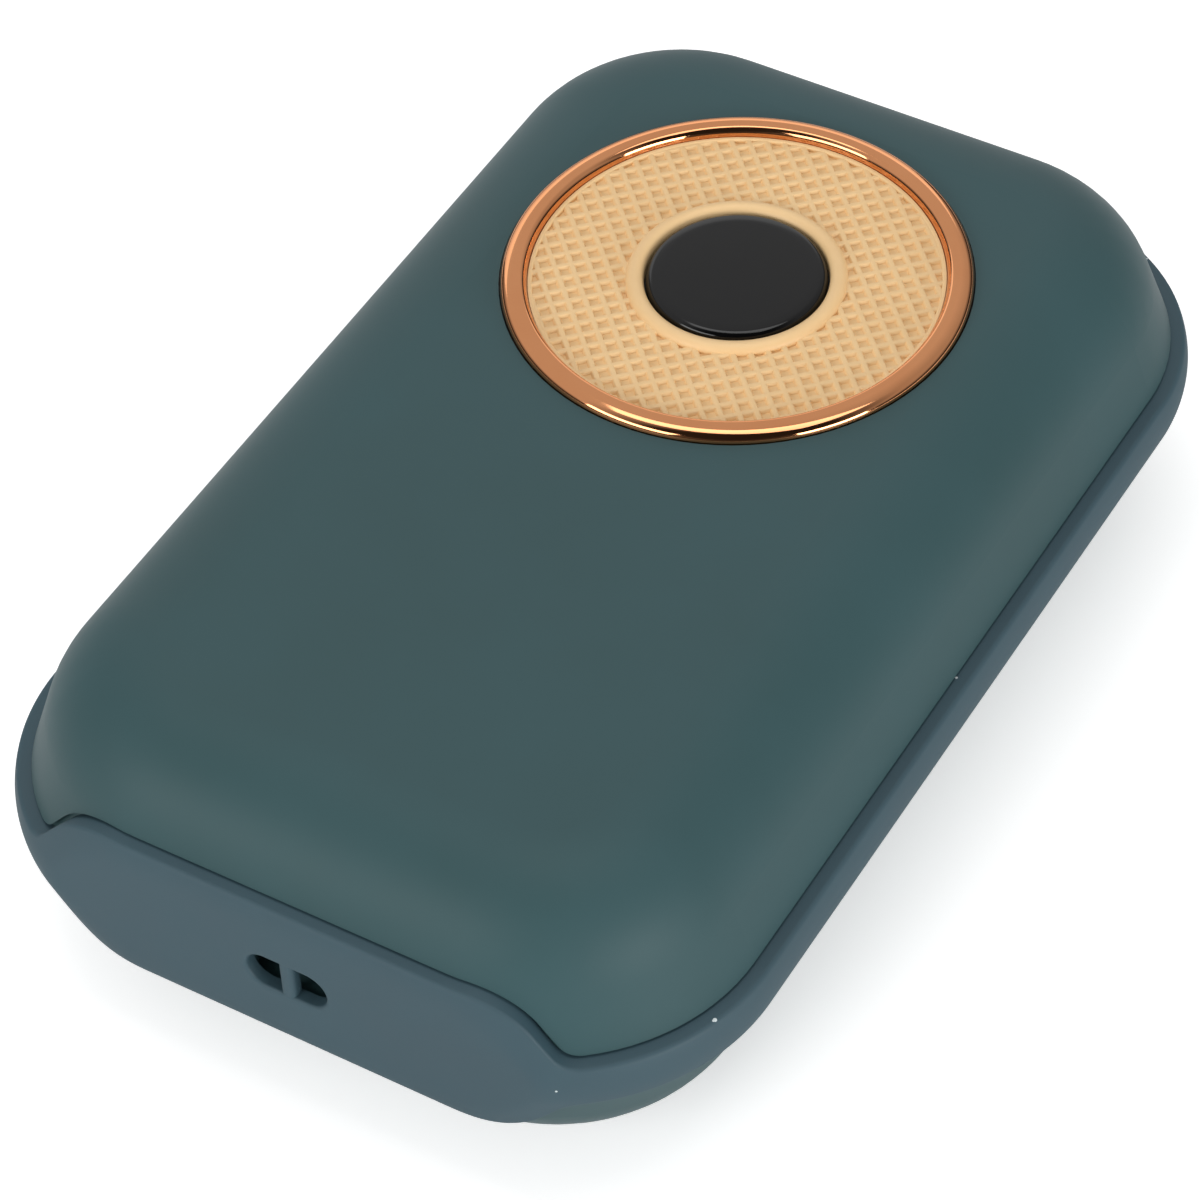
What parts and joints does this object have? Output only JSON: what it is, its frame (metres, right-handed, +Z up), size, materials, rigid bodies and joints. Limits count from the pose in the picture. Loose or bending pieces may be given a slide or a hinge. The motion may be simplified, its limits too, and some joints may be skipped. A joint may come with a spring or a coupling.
{
  "type": "rechargeable hand warmer",
  "caption": "Pocket-size rechargeable hand warmer: two domed shells, a soft waist band with a lanyard slot, and a sprung push button in a textured dial with a metal trim ring.",
  "frame": {"origin": "centre of the bounding box at its base, on the surface the back face lies on", "axes": "+X to the right across the width, +Y along the length towards the button, +Z up out of the front face"},
  "size_m": [0.0656, 0.102, 0.0299],
  "materials": {
    "label_film": "plain silver polyester film, unprinted",
    "shell_paint": "soft-touch matte paint, dark grey-green",
    "band_silicone": "matte silicone, blue-grey teal",
    "ring_plating": "rose-gold plating, polished",
    "dial_plastic": "satin moulded plastic, apricot",
    "lens_black": "gloss black lens",
    "key_plastic": "black moulded plastic",
    "chassis_plastic": "dark grey moulded plastic",
    "board_laminate": "green solder mask",
    "chip_epoxy": "black epoxy",
    "coil_ferrite": "dark grey ferrite",
    "can_metal": "bare aluminium cans",
    "led_resin": "clear yellowish resin",
    "plug_nylon": "natural nylon",
    "screw_steel": "zinc-plated steel",
    "socket_steel": "stamped stainless steel",
    "cell_pouch": "laminated pouch foil",
    "plate_metal": "plain aluminium sheet",
    "film_polyimide": "amber polyimide film",
    "pad_foam": "closed-cell foam",
    "lead_red": "red wire insulation",
    "lead_black": "black wire insulation",
    "lead_white": "white wire insulation"
  },
  "bodies": {
    "case": {"front_shell": "shell_paint", "back_shell": "shell_paint", "middle_band": "band_silicone", "trim_ring": "ring_plating", "rating_label": "label_film", "dial_plate": "dial_plastic", "switch_body": "chip_epoxy", "usb_socket_shell": "socket_steel", "usb_socket_tongue": "chip_epoxy", "main_board": "board_laminate", "board_screws": "screw_steel", "control_chips": "chip_epoxy", "power_coil": "coil_ferrite", "capacitors": "can_metal", "indicator_leds": "led_resin", "battery_plug": "plug_nylon", "chassis": "chassis_plastic", "chassis_screws": "screw_steel", "back_heat_plate": "plate_metal", "back_heating_film": "film_polyimide", "front_heat_plate": "plate_metal", "front_heating_film": "film_polyimide", "back_heater_leads": "lead_white", "front_heater_leads": "lead_white", "battery_cell_lower": "cell_pouch", "battery_cell_upper": "cell_pouch", "back_foam_pad": "pad_foam", "front_foam_pad": "pad_foam", "battery_guard_board": "board_laminate", "battery_lead_positive": "lead_red", "battery_lead_negative": "lead_black", "temperature_sensors": "led_resin"},
    "button": {"button_lens": "lens_black", "button_key": "key_plastic"},
    "plunger": {"switch_plunger": "key_plastic"}
  },
  "joints": [
    {"name": "button_press", "type": "slide", "parent": "case", "child": "button", "axis": [0, 0, -1], "range_m": [0, 0.0005], "stiffness_N_per_m": 4000},
    {"name": "plunger_press", "type": "slide", "parent": "case", "child": "plunger", "axis": [0, 0, -1], "range_m": [0, 0.0007]}
  ],
  "couplings": [
    {"joint": "plunger_press", "follows": "button_press", "ratio": 1}
  ]
}
